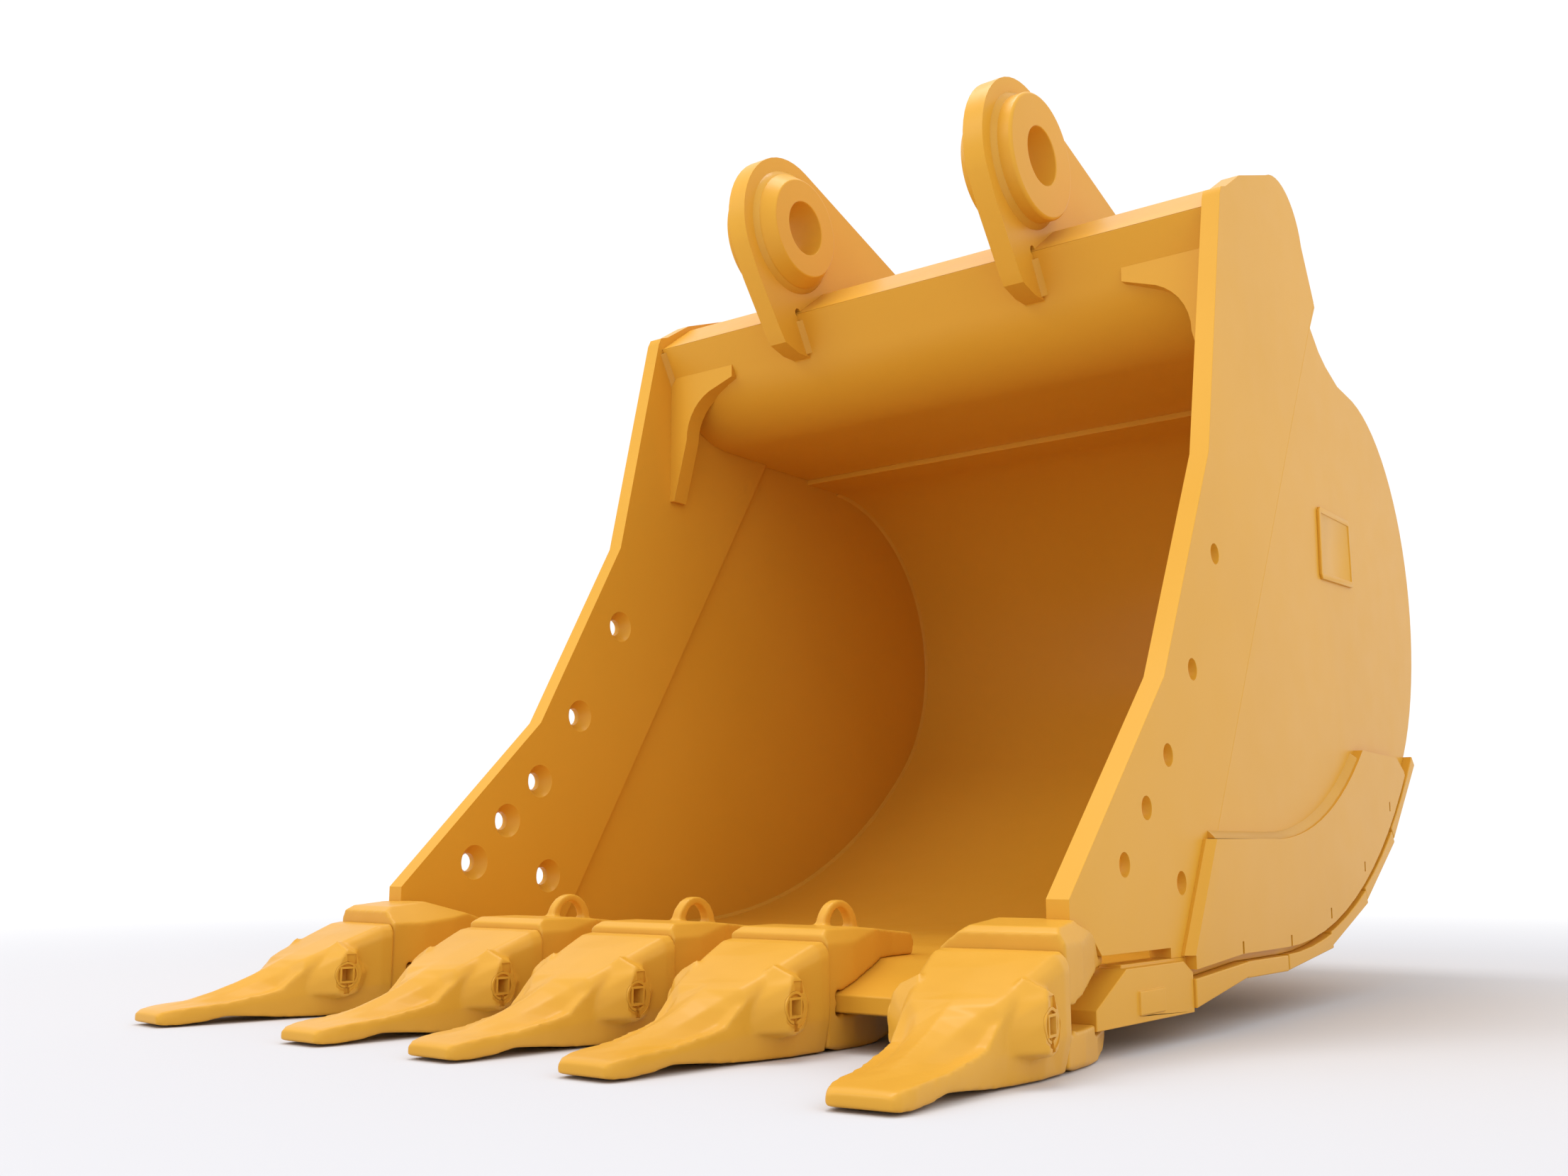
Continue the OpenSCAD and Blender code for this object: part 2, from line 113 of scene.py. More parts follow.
def add_node(
    tree: bpy.types.NodeTree, kind: str, settings: dict | None = None, **links: object
) -> bpy.types.Node:
    """Adds one shader node with its settings, socket values and links.

    Args:
        tree: Node tree of the material.
        kind: Blender's node type.
        settings: Attributes of the node itself.
        **links: Input name, with underscores for spaces, to a value or to an output socket.

    Returns:
        The new node.
    """
    made = tree.nodes.new(kind)
    for key, value in (settings or {}).items():
        setattr(made, key, value)
    for key, value in links.items():
        numbered = key[0] == "i" and key[1:].isdigit()
        socket = made.inputs[int(key[1:]) if numbered else key.replace("_", " ")]
        if isinstance(value, bpy.types.NodeSocket):
            tree.links.new(value, socket)
        else:
            socket.default_value = value
    return made


def drawing(x: float, y: float, z: float) -> Vector:
    """A point of the drawing, in millimetres, as metres in the part's frame."""
    return Vector((x, y + DRAWING_Y, z + DRAWING_Z)) * MM


def deselect() -> None:
    """Leaves edit mode and deselects every object."""
    if bpy.context.mode != "OBJECT":
        bpy.ops.object.mode_set(mode="OBJECT")
    bpy.ops.object.select_all(action="DESELECT")


def only(obj: bpy.types.Object) -> None:
    """Makes one object the selected and active one."""
    deselect()
    obj.select_set(True)
    bpy.context.view_layer.objects.active = obj


def apply_modifier(obj: bpy.types.Object, kind: str, **settings: object) -> None:
    """Adds a modifier to an object and applies it.

    Args:
        obj: Object to change.
        kind: Blender's modifier type.
        **settings: Attributes of the modifier.
    """
    only(obj)
    modifier = obj.modifiers.new(kind.lower(), kind)
    for key, value in settings.items():
        setattr(modifier, key, value)
    bpy.ops.object.modifier_apply(modifier=modifier.name)


def settle(obj: bpy.types.Object) -> bpy.types.Object:
    """Moves an object's place into its mesh, so the object itself sits at the origin."""
    only(obj)
    bpy.ops.object.transform_apply(location=True, rotation=True, scale=True)
    return obj


def join(name: str, pieces: Sequence[bpy.types.Object]) -> bpy.types.Object:
    """Joins objects into the first one and names it.

    Args:
        name: Name of the result.
        pieces: Objects to join, the first of which stays.

    Returns:
        The joined object.
    """
    deselect()
    for piece in pieces:
        piece.select_set(True)
    bpy.context.view_layer.objects.active = pieces[0]
    bpy.ops.object.join()
    pieces[0].name = name
    return pieces[0]


def copy_of(obj: bpy.types.Object, name: str) -> bpy.types.Object:
    """A copy of an object with a mesh of its own.

    Args:
        obj: Object to copy.
        name: Name of the copy.

    Returns:
        The copy, in the scene.
    """
    twin = obj.copy()
    twin.data = obj.data.copy()
    twin.name = name
    twin.animation_data_clear()
    bpy.context.scene.collection.objects.link(twin)
    return twin


def remove(obj: bpy.types.Object) -> None:
    """Deletes an object that was only a step on the way."""
    bpy.data.objects.remove(obj, do_unlink=True)


Ring = list[tuple[float, float, float]]


def loft(name: str, rings: Sequence[Ring]) -> bpy.types.Object:
    """Models a closed form by extruding a filled ring from section to section.

    Args:
        name: Name of the object.
        rings: Sections in millimetres, each with the same number of corners in the same order.

    Returns:
        The closed object, in metres at the origin.
    """
    deselect()
    bpy.ops.mesh.primitive_circle_add(vertices=len(rings[0]), radius=1.0, fill_type="NGON")
    obj = bpy.context.active_object
    obj.name = name
    bpy.ops.object.mode_set(mode="EDIT")
    bpy.ops.mesh.select_mode(type="VERT")
    mesh = bmesh.from_edit_mesh(obj.data)
    ring_verts = list(mesh.verts)
    for step, ring in enumerate(rings):
        if step:
            before = [v.co.copy() for v in ring_verts]
            bpy.ops.mesh.extrude_region_move()
            mesh = bmesh.from_edit_mesh(obj.data)
            fresh = [v for v in mesh.verts if v.select]
            ring_verts = [min(fresh, key=lambda v, c=c: (v.co - c).length_squared) for c in before]
        for vert, place in zip(ring_verts, ring):
            vert.co = Vector(place) * MM
        bmesh.update_edit_mesh(obj.data)
    bpy.ops.mesh.select_all(action="SELECT")
    bpy.ops.mesh.normals_make_consistent(inside=False)
    bpy.ops.object.mode_set(mode="OBJECT")
    return obj


def mirrored_ring(y: float, half: Sequence[tuple[float, float]]) -> Ring:
    """A closed section across X from the right half's corners.

    Args:
        y: Where the section stands, in millimetres.
        half: Corners (x, z) from the bottom middle round to the top middle; both ends have x zero.

    Returns:
        The ring of corners, right side first.
    """
    right = [(x, y, z) for x, z in half]
    left = [(-x, y, z) for x, z in reversed(half[1:-1])]
    return right + left


def cut(obj: bpy.types.Object, cutters: Sequence[bpy.types.Object], operation: str = "DIFFERENCE") -> None:
    """Applies Boolean modifiers and deletes the cutters.

    Args:
        obj: Object that is cut or added to.
        cutters: Closed objects that do it, each used up.
        operation: DIFFERENCE or UNION.
    """
    for cutter in cutters:
        apply_modifier(obj, "BOOLEAN", operation=operation, object=cutter, solver="EXACT")
        remove(cutter)


def rod(
    name: str, radius: float, length: float, centre: tuple[float, float, float], sides: int = 48
) -> bpy.types.Object:
    """A cylinder along X, in millimetres, settled at the origin.

    Args:
        name: Name of the cylinder.
        radius: Its radius.
        length: Its length along X.
        centre: Its middle.
        sides: Number of flats round it.

    Returns:
        The cylinder.
    """
    deselect()
    bpy.ops.mesh.primitive_cylinder_add(
        vertices=sides,
        radius=radius * MM,
        depth=length * MM,
        location=[c * MM for c in centre],
        rotation=(0, math.pi / 2, 0),
    )
    obj = bpy.context.active_object
    obj.name = name
    return settle(obj)


def block(name: str, low: tuple[float, float, float], high: tuple[float, float, float]) -> bpy.types.Object:
    """A box between two corners in millimetres, settled at the origin.

    Args:
        name: Name of the box.
        low: Corner with the smallest values.
        high: Corner with the largest values.

    Returns:
        The box.
    """
    deselect()
    middle = [(a + b) / 2 * MM for a, b in zip(low, high)]
    bpy.ops.mesh.primitive_cube_add(size=1, location=middle)
    obj = bpy.context.active_object
    obj.name = name
    obj.scale = [abs(b - a) * MM for a, b in zip(low, high)]
    return settle(obj)


def smooth(obj: bpy.types.Object, degrees: float = 180.0) -> None:
    """Shades an object smooth up to an angle between faces."""
    only(obj)
    if degrees >= 180:
        bpy.ops.object.shade_smooth()
    else:
        bpy.ops.object.shade_smooth_by_angle(angle=math.radians(degrees))


# ------------------------------------------------------------------ finishes


@dataclass(frozen=True)
class SteelPaint:
    """Sprayed two-part machine enamel: a smooth glossy film with faint orange peel.

    Sizes are in metres. The peel's true grain of about 2 mm is drawn at peel_grain so it shows.
    """

    name: str
    film: str
    thin_film: str
    roughness: float
    peel_grain: float
    peel_depth: float
    drift: float = 0.45
    sheen: float = 0.20

    def build(self) -> bpy.types.Material:
        """Makes the node material.

        Returns:
            The material, read from Object coordinates only.
        """
        material = bpy.data.materials.new(self.name)
        material.use_nodes = True
        tree = material.node_tree
        tree.nodes.clear()
        place = add_node(tree, "ShaderNodeTexCoord").outputs["Object"]
        # Film thickness drifts slowly over a plate, as from overlapping passes of the spray gun.
        passes = add_node(
            tree, "ShaderNodeTexNoise", Vector=place, Scale=1 / self.drift, Detail=3.0, Roughness=0.5
        )
        spread = add_node(
            tree,
            "ShaderNodeMapRange",
            Value=passes.outputs["Fac"],
            From_Min=0.35,
            From_Max=0.65,
            To_Min=0.0,
            To_Max=1.0,
        )
        colour = add_node(
            tree,
            "ShaderNodeMix",
            {"data_type": "RGBA"},
            i0=spread.outputs["Result"],
            i6=srgb(self.film),
            i7=srgb(self.thin_film),
        )
        dull = add_node(tree, "ShaderNodeTexNoise", Vector=place, Scale=14.0, Detail=4.0)
        gloss = add_node(
            tree,
            "ShaderNodeMapRange",
            Value=dull.outputs["Fac"],
            From_Min=0.3,
            From_Max=0.7,
            To_Min=self.roughness * 0.94,
            To_Max=self.roughness * 1.06,
        )
        peel = add_node(tree, "ShaderNodeTexNoise", Vector=place, Scale=1 / self.peel_grain, Detail=2.0)
        bump = add_node(
            tree, "ShaderNodeBump", Height=peel.outputs["Fac"], Strength=1.0, Distance=self.peel_depth
        )
        shader = add_node(
            tree,
            "ShaderNodeBsdfPrincipled",
            Base_Color=colour.outputs[2],
            Roughness=gloss.outputs["Result"],
            Normal=bump.outputs["Normal"],
        )
        shader.inputs["IOR"].default_value = 1.5
        shader.inputs["Coat Weight"].default_value = 0.0
        shader.inputs["Specular IOR Level"].default_value = self.sheen
        out = add_node(tree, "ShaderNodeOutputMaterial")
        tree.links.new(shader.outputs["BSDF"], out.inputs["Surface"])
        return material


@dataclass(frozen=True)
class StudioCard:
    """Matt seamless paper for the floor: plain and pale, with painted light that turns it white away from
    the middle.
    """

    name: str = "seamless_paper"
    middle: str = "#D2D2D6"
    # Painted light: the far floor's white stands in for studio light washing it out.
    painted_light_white: str = "#FFFFFF"
    grey_within: float = 1.6
    white_beyond: float = 7.0

    def build(self) -> bpy.types.Material:
        """Makes the paper's material."""
        material = bpy.data.materials.new(self.name)
        material.use_nodes = True
        tree = material.node_tree
        shader = tree.nodes["Principled BSDF"]
        place = add_node(tree, "ShaderNodeTexCoord").outputs["Object"]
        away = add_node(tree, "ShaderNodeVectorMath", {"operation": "LENGTH"}, i0=place)
        # Painted light: the paper runs from grey near the middle to white far off, as if the far floor were
        # washed out by the lights.
        fade = add_node(
            tree,
            "ShaderNodeMapRange",
            {"interpolation_type": "SMOOTHSTEP"},
            Value=away.outputs["Value"],
            From_Min=self.grey_within,
            From_Max=self.white_beyond,
        )
        tone = add_node(
            tree,
            "ShaderNodeMix",
            {"data_type": "RGBA"},
            i0=fade.outputs["Result"],
            i6=srgb(self.middle),
            i7=srgb(self.painted_light_white),
        )
        tree.links.new(tone.outputs[2], shader.inputs["Base Color"])
        shader.inputs["Roughness"].default_value = 0.9
        shader.inputs["Specular IOR Level"].default_value = 0.0
        return material


PLATE_PAINT = SteelPaint("plate_enamel", "#DDA336", "#DAA032", 0.36, 0.060, 0.000004)
CAST_PAINT = SteelPaint("casting_enamel", "#DBA239", "#D69D34", 0.36, 0.006, 0.00003, 0.12)
WELD_PAINT = SteelPaint("weld_enamel", "#D8A23C", "#D29B36", 0.30, 0.004, 0.00006, 0.20)


# ------------------------------------------------------------------ studio


@dataclass
class Studio:
    """Floor, soft lights and the camera."""

    camera_place: tuple[float, float, float] = (1.5188, -2.3498, -1.2607)
    camera_turn: tuple[float, float, float] = (100.01, 0.0, 37.25)
    lens: float = 34.78
    sky: str = "#FFFFFF"
    sky_strength: float = 1.02
    lights: tuple = (
        # name, place, aim, width, height, watts
        ("key", (-2.2, -4.6, 3.4), (0.0, 0.0, -0.8), 3.0, 3.0, 80.0),
        ("fill", (5.5, -2.4, 2.6), (0.3, 0.1, -0.9), 4.0, 4.0, 40.0),
        ("top", (-0.6, 0.2, 4.6), (0.0, 0.3, -1.2), 2.4, 2.4, 110.0),
    )

    def build(self, floor_z: float) -> None:
        """Sets up the studio.

        Args:
            floor_z: Height of the ground in metres.
        """
        bpy.context.scene.view_settings.view_transform = "Standard"
        self._camera()
        self._sky()
        for entry in self.lights:
            self._light(*entry)
        self._floor(floor_z)

    def _camera(self) -> None:
        """Adds the camera."""
        data = bpy.data.cameras.new("camera")
        data.lens = self.lens
        data.sensor_width = 36.0
        data.clip_end = 100.0
        camera = bpy.data.objects.new("camera", data)
        camera.location = self.camera_place
        camera.rotation_euler = [math.radians(a) for a in self.camera_turn]
        bpy.context.scene.collection.objects.link(camera)
        bpy.context.scene.camera = camera

    def _sky(self) -> None:
        """Adds a plain bright surround."""
        world = bpy.data.worlds.new("surround")
        bpy.context.scene.world = world
        world.use_nodes = True
        ground = world.node_tree.nodes["Background"]
        ground.inputs["Color"].default_value = srgb(self.sky)
        ground.inputs["Strength"].default_value = self.sky_strength

    def _light(
        self,
        name: str,
        place: tuple[float, float, float],
        aim: tuple[float, float, float],
        width: float,
        height: float,
        watts: float,
    ) -> None:
        """Adds one soft box that looks at a point.

        Args:
            name: Name of the light.
            place: Where it stands, in metres.
            aim: Point that it looks at, in metres.
            width: Width of its face in metres.
            height: Height of its face in metres.
            watts: Its power.
        """
        data = bpy.data.lights.new(name, "AREA")
        data.shape = "RECTANGLE"
        data.size = width
        data.size_y = height
        data.energy = watts
        lamp = bpy.data.objects.new(name, data)
        lamp.location = place
        lamp.rotation_euler = (Vector(aim) - Vector(place)).to_track_quat("-Z", "Y").to_euler()
        bpy.context.scene.collection.objects.link(lamp)

    def _floor(self, floor_z: float) -> None:
        """Lays the paper flat on the ground.

        Args:
            floor_z: Height of the ground in metres.
        """
        deselect()
        bpy.ops.mesh.primitive_plane_add(size=60.0, location=(0.0, 0.0, floor_z))
        floor = bpy.context.active_object
        floor.name = "studio_floor"
        floor.data.materials.append(StudioCard().build())
        floor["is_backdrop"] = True


# ------------------------------------------------------------------ welded plates


@dataclass
class PlateWork:
    """The CAD plates, kept as they are and given rounded edges, smooth bends and paint."""

    paint: bpy.types.Material
    edge: float = 2.2
    edges: dict[str, float] = field(
        default_factory=lambda: {
            "heel_sheet": 1.0,
            "side_sheet_left": 1.4,
            "side_sheet_right": 1.4,
            "badge_plate_left": 1.0,
            "badge_plate_right": 1.0,
        }
    )
    smallest_bend: float = 30.0

    def build(self, nodes: dict[str, bpy.types.Object]) -> None:
        """Dresses every plate node.

        Args:
            nodes: CAD nodes by name.
        """
        for name, obj in nodes.items():
            self._dress(obj, self.edges.get(name, self.edge))
            LOG.info("plate %s dressed", name)

    def _dress(self, obj: bpy.types.Object, edge: float) -> None:
        """Puts paint and edge rounding on one node.

        Args:
            obj: The CAD node.
            edge: Width of the rounded edge in millimetres.
        """
        obj.data.materials.clear()
        obj.data.materials.append(self.paint)
        obj.data.polygons.foreach_set("use_smooth", [True] * len(obj.data.polygons))
        weld = obj.modifiers.new("weld", "WELD")
        weld.merge_threshold = 1e-5
        flat = obj.modifiers.new("flat", "DECIMATE")
        flat.decimate_type = "DISSOLVE"
        flat.angle_limit = math.radians(0.6)
        bevel = obj.modifiers.new("bevel", "BEVEL")
        bevel.width = edge * MM
        bevel.segments = 3
        bevel.limit_method = "ANGLE"
        bevel.angle_limit = math.radians(self.smallest_bend)
        bevel.miter_outer = "MITER_ARC"
        normals = obj.modifiers.new("normals", "WEIGHTED_NORMAL")
        normals.weight = 80


# ------------------------------------------------------------------ teeth


@dataclass
class ToothFrame:
    """Where the five teeth stand and how the two corner ones are flared."""

    pitch: float = 264.0
    corner_x: float = 590.0
    flare: float = 6.5

    def matrix(self, number: int) -> Matrix:
        """The place of a tooth's own frame.

        Args:
            number: Tooth number, 1 at the left to 5 at the right.

        Returns:
            The matrix from the tooth's frame, in metres, to the part's frame.
        """
        x = (-self.corner_x, -self.pitch, 0.0, self.pitch, self.corner_x)[number - 1]
        turn = (-self.flare, 0.0, 0.0, 0.0, self.flare)[number - 1]
        return Matrix.Translation(drawing(x, 0.0, 0.0)) @ Matrix.Rotation(math.radians(turn), 4, "Z")

    def stand(
        self, pattern: bpy.types.Object, name: str, number: int, flipped: bool = False
    ) -> bpy.types.Object:
        """Copies a finished pattern to a tooth's place.

        Args:
            pattern: Object modelled in the tooth's frame.
            name: Name of the copy.
            number: Tooth number.
            flipped: True for the mirror image across the tooth's middle.

        Returns:
            The copy, settled at the origin.
        """
        twin = copy_of(pattern, name)
        flip = Matrix.Diagonal((-1.0, 1.0, 1.0, 1.0)) if flipped else Matrix.Identity(4)
        twin.matrix_world = self.matrix(number) @ flip
        settle(twin)
        if flipped:
            only(twin)
            bpy.ops.object.mode_set(mode="EDIT")
            bpy.ops.mesh.select_all(action="SELECT")
            bpy.ops.mesh.normals_make_consistent(inside=False)
            bpy.ops.object.mode_set(mode="OBJECT")
        return twin


@dataclass
class TipCasting:
    """A cast digging tip: wedge body, scooped flanks down to a blunt blade, two lock bosses."""

    paint: bpy.types.Material
    frame: ToothFrame
    lock_y: float = -173.0
    lock_z: float = 66.0
    lock_r: float = 20.4
    recess_r: float = 25.0
    boss_face: float = 99.4
    fillet_voxel: float = 2.6
    fillet_rounds: int = 9
    # Pocket for the adapter's nose, at its mouth and its end: half width, y, lowest and highest z
    pocket_mouth: tuple = (70.5, -70.0, 20.0, 135.0)
    pocket_end: tuple = (50.6, -222.6, 35.4, 70.6)
    # Key notches beside the lock: y and z from its centre, width along Y, height along Z
    upper_notch: tuple = (8.0, 24.0, 17.0, 15.0)
    lower_notch: tuple = (0.0, -24.0, 10.0, 9.0)
    # y, then (half width, height) of: bottom edge, flank, shoulder, scoop and plateau edge; then the ridge
    sections: tuple = (
        (-85.0, (78, 3.4), (88, 46), (88, 122), (84, 133), (76, 141.4), 141.6),
        (-106.0, (78, 3.4), (88.5, 46), (88, 120), (83, 131), (75.5, 139), 139.6),
        (-150.0, (77, 3.4), (81, 44), (80, 106), (76, 115), (68, 122), 124),
        (-208.0, (67, 3.6), (70, 40), (67, 86), (63, 93), (57, 98), 100),
        (-226.0, (63, 4.2), (66, 38), (63, 77), (58, 84), (50, 90), 93.5),
        (-240.0, (61, 4.8), (64, 37), (61, 68), (50, 68), (37, 79), 87),
        (-262.0, (58.5, 5.6), (61, 33), (59, 49), (44, 49), (28, 67), 77),
        (-282.0, (56.5, 7.6), (59, 31), (57.5, 44), (42, 42), (23, 59), 68),
        (-310.0, (54, 10), (56.5, 28), (55, 39.5), (39, 37), (19, 50), 57.5),
        (-345.0, (50, 12), (53, 24), (51.5, 33.5), (36, 32), (17, 41), 46),
        (-380.0, (47, 6.0), (49.5, 18), (48, 30.5), (35, 30.5), (20, 33), 36),
        (-415.0, (45.5, 4.2), (47.5, 16), (46, 28), (34, 28), (24, 28.5), 29),
        (-438.0, (41.5, 5.0), (43, 14), (40, 24.5), (32, 24.5), (24, 25), 25.2),
        (-447.5, (37, 7.0), (38, 12), (36, 19), (28, 20), (22, 20), 20.0),
    )
    # The boss: its foot on the flank and its flat face round the lock, as (x, y, z) on the right side
    boss_foot: tuple = (
        (50, -240, 36), (50, -234, 62), (54, -208, 90), (62, -176, 118),
        (62, -138, 110), (66, -106, 72), (64, -126, 36), (58, -188, 24),
    )
    boss_flat: tuple = (
        (99, -188, 38), (99.6, -189, 70), (97, -180, 95), (93, -171, 104),
        (95, -156, 98), (98.5, -148, 68), (98, -156, 38), (98.5, -174, 33),
    )

    def build(self) -> None:
        """Models one tip and stands a copy at each adapter."""
        pattern = self._pattern()
        for number in range(1, 6):
            name = f"tip_casting_{number}"
            tip = self.frame.stand(pattern, name, number)
            tip.data.materials.clear()
            tip.data.materials.append(self.paint)
            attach(tip, ROOT)
            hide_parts(f"tip_{number}")
            LOG.info("%s: %d faces", name, len(tip.data.polygons))
        remove(pattern)

    def _pattern(self) -> bpy.types.Object:
        """Models the tip in its own frame."""
        rings = [
            mirrored_ring(y, [(0.0, low[1]), low, flank, shoulder, scoop, plateau, (0.0, ridge)])
            for y, low, flank, shoulder, scoop, plateau, ridge in self.sections
        ]
        body = loft("tip_body", rings)
        bosses = [self._boss(1), self._boss(-1)]
        casting = join("tip_pattern", [body, *bosses])
        apply_modifier(casting, "REMESH", mode="VOXEL", voxel_size=self.fillet_voxel * MM)
        apply_modifier(casting, "SMOOTH", factor=0.5, iterations=self.fillet_rounds)
        self._machine(casting)
        smooth(casting, 40.0)
        return casting

    def _boss(self, sign: int) -> bpy.types.Object:
        """The raised pad round a lock, from the body out to its flat face.

        Args:
            sign: 1 for the right side, -1 for the left.
        """
        rings = [[(sign * x, y, z) for x, y, z in ring] for ring in (self.boss_foot, self.boss_flat)]
        return loft("tip_boss", rings)

    def _machine(self, casting: bpy.types.Object) -> None:
        """Cuts the nose pocket, the lock bores, their recesses and key notches.

        Args:
            casting: Tip to cut.
        """
        rings = [
            [(-half, y, low), (half, y, low), (half, y, high), (-half, y, high)]
            for half, y, low, high in (self.pocket_mouth, self.pocket_end)
        ]
        cut(casting, [loft("pocket", rings), self._lock_tool(1), self._lock_tool(-1)])

    def _lock_tool(self, sign: int) -> bpy.types.Object:
        """One cutter for a lock's bore, its recess and the two key notches.

        Args:
            sign: Side of the tip, 1 for the right.

        Returns:
            The cutter, as one closed form.
        """
        tool = rod("bore", self.lock_r, 80, (sign * 85, self.lock_y, self.lock_z))
        recess = rod("recess", self.recess_r, 9, (sign * (self.boss_face + 1.5), self.lock_y, self.lock_z))
        notches = [
            self._notch(sign, self.lock_y + y, self.lock_z + z, wide, high)
            for y, z, wide, high in (self.upper_notch, self.lower_notch)
        ]
        cut(tool, [recess, *notches], "UNION")
        return tool

    def _notch(self, sign: int, y: float, z: float, wide: float, high: float) -> bpy.types.Object:
        """A key notch beside the recess.

        Args:
            sign: Side of the tip.
            y: Middle of the notch.
            z: Middle of the notch.
            wide: Width along Y.
            high: Height along Z.
        """
        x = sorted((sign * (self.boss_face - 7), sign * (self.boss_face + 8)))
        return block("notch", (x[0], y - wide / 2, z - high / 2), (x[1], y + wide / 2, z + high / 2))


@dataclass
class RetainerLock:
    """The turning lock: a ringed plug with a square drive and a pointer tab."""

    paint: bpy.types.Material
    frame: ToothFrame
    y: float = -173.0
    z: float = 66.0
    radius: float = 19.9
    inner_x: float = 62.0
    outer_x: float = 97.0
    rim: float = 3.4
    face_depth: float = 3.0
    drive: float = 19.0
    drive_depth: float = 20.0
    seat_margin: float = 3.0
    seat_depth: float = 6.0
    tab_half: float = 3.2
    tab_rise: float = 6.0
    lug_r: float = 12.0
    lug_x: float = 56.5
    lug_length: float = 13.0

    def build(self) -> None:
        """Models one lock and puts a copy in each side of each tip."""
        pattern = self._pattern()
        for number in range(1, 6):
            for side in Side:
                name = f"retainer_{number}_{side.word}"
                lock = self.frame.stand(pattern, name, number, flipped=side is Side.LEFT)
                lock.data.materials.clear()
                lock.data.materials.append(self.paint)
                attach(lock, f"lock_{number}_{side.word}")
                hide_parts(f"lock_{number}_{side.word}")
                LOG.info("%s stands", name)
        remove(pattern)

    def _pattern(self) -> bpy.types.Object:
        """Models the lock in the tooth's frame."""
        centre = ((self.inner_x + self.outer_x) / 2, self.y, self.z)
        plug = rod("lock_pattern", self.radius, self.outer_x - self.inner_x, centre, 64)
        only(plug)
        bpy.ops.object.mode_set(mode="EDIT")
        bpy.ops.mesh.select_mode(type="FACE")
        bpy.ops.mesh.select_all(action="DESELECT")
        mesh = bmesh.from_edit_mesh(plug.data)
        for face in mesh.faces:
            face.select_set(face.normal.x > 0.9)
        bmesh.update_edit_mesh(plug.data)
        bpy.ops.mesh.inset(thickness=self.rim * MM)
        bpy.ops.mesh.extrude_region_move(TRANSFORM_OT_translate={"value": (-self.face_depth * MM, 0, 0)})
        bpy.ops.object.mode_set(mode="OBJECT")
        x, y, z = self.outer_x, self.y, self.z
        half = self.drive / 2
        rim = half + self.seat_margin
        seat = block("drive_seat", (x - self.seat_depth, y - rim, z - rim), (x + 1, y + rim, z + rim))
        hole = block("drive_hole", (x - self.drive_depth, y - half, z - half), (x + 5, y + half, z + half))
        cut(plug, [seat], "UNION")
        foot = z - self.radius
        low = (x - 5, y - self.tab_half, foot - 1)
        gap = block("tab_gap", low, (x + 5, y + self.tab_half, foot + self.tab_rise))
        cut(plug, [hole, gap])
        lug = rod("lug", self.lug_r, self.lug_length, (self.lug_x, y, z), 48)
        lower = block("lower", (40, y - 30, z - 30), (70, y + 30, z))
        cut(lug, [lower])
        lock = join("lock_pattern", [plug, lug])
        apply_modifier(
            lock, "BEVEL", width=0.0006, segments=2, limit_method="ANGLE", angle_limit=math.radians(40)
        )
        smooth(lock, 40.0)
        return lock


@dataclass
class AdapterCasting:
    """Cast adapters, from the CAD solids with every edge run into a casting fillet."""

    paint: bpy.types.Material
    voxel: float = 2.6
    rounds: int = 7

    def build(self, nodes: dict[str, bpy.types.Object]) -> None:
        """Rounds each adapter.

        Args:
            nodes: CAD nodes by name.
        """
        for number in range(1, 6):
            node = f"adapter_{number}"
            casting = copy_of(nodes[node], f"adapter_casting_{number}")
            casting.parent = None
            casting.matrix_world = Matrix.Identity(4)
            casting.data.materials.clear()
            only(casting)
            bpy.ops.object.mode_set(mode="EDIT")
            bpy.ops.mesh.select_all(action="SELECT")
            bpy.ops.mesh.remove_doubles(threshold=1e-5)
            bpy.ops.object.mode_set(mode="OBJECT")
            apply_modifier(casting, "REMESH", mode="VOXEL", voxel_size=self.voxel * MM)
            apply_modifier(casting, "SMOOTH", factor=0.5, iterations=self.rounds)
            smooth(casting)
            casting.data.materials.clear()
            casting.data.materials.append(self.paint)
            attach(casting, ROOT)
            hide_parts(node)
            LOG.info("%s: %d faces", casting.name, len(casting.data.polygons))


# ------------------------------------------------------------------ welds


def drawn(x: float, points: Sequence[tuple[float, float]]) -> list[Vector]:
    """Puts points of the side drawing at one X.

    Args:
        x: Place across the bucket.
        points: The (y, z) points of the drawing.

    Returns:
        The points in millimetres from the stick pin.
    """
    return [Vector((x, y + DRAWING_Y, z + DRAWING_Z)) for y, z in points]


def arc(
    centre: tuple[float, float], radius: float, start: float, end: float, steps: int = 24
) -> list[tuple[float, float]]:
    """Points on an arc of the drawing.

    Args:
        centre: Centre of the arc.
        radius: Its radius.
        start: First angle in degrees.
        end: Last angle in degrees.
        steps: Number of steps between them.

    Returns:
        The points, one more than the steps.
    """
    angles = [math.radians(start + (end - start) * i / steps) for i in range(steps + 1)]
    return [(centre[0] + radius * math.cos(a), centre[1] + radius * math.sin(a)) for a in angles]


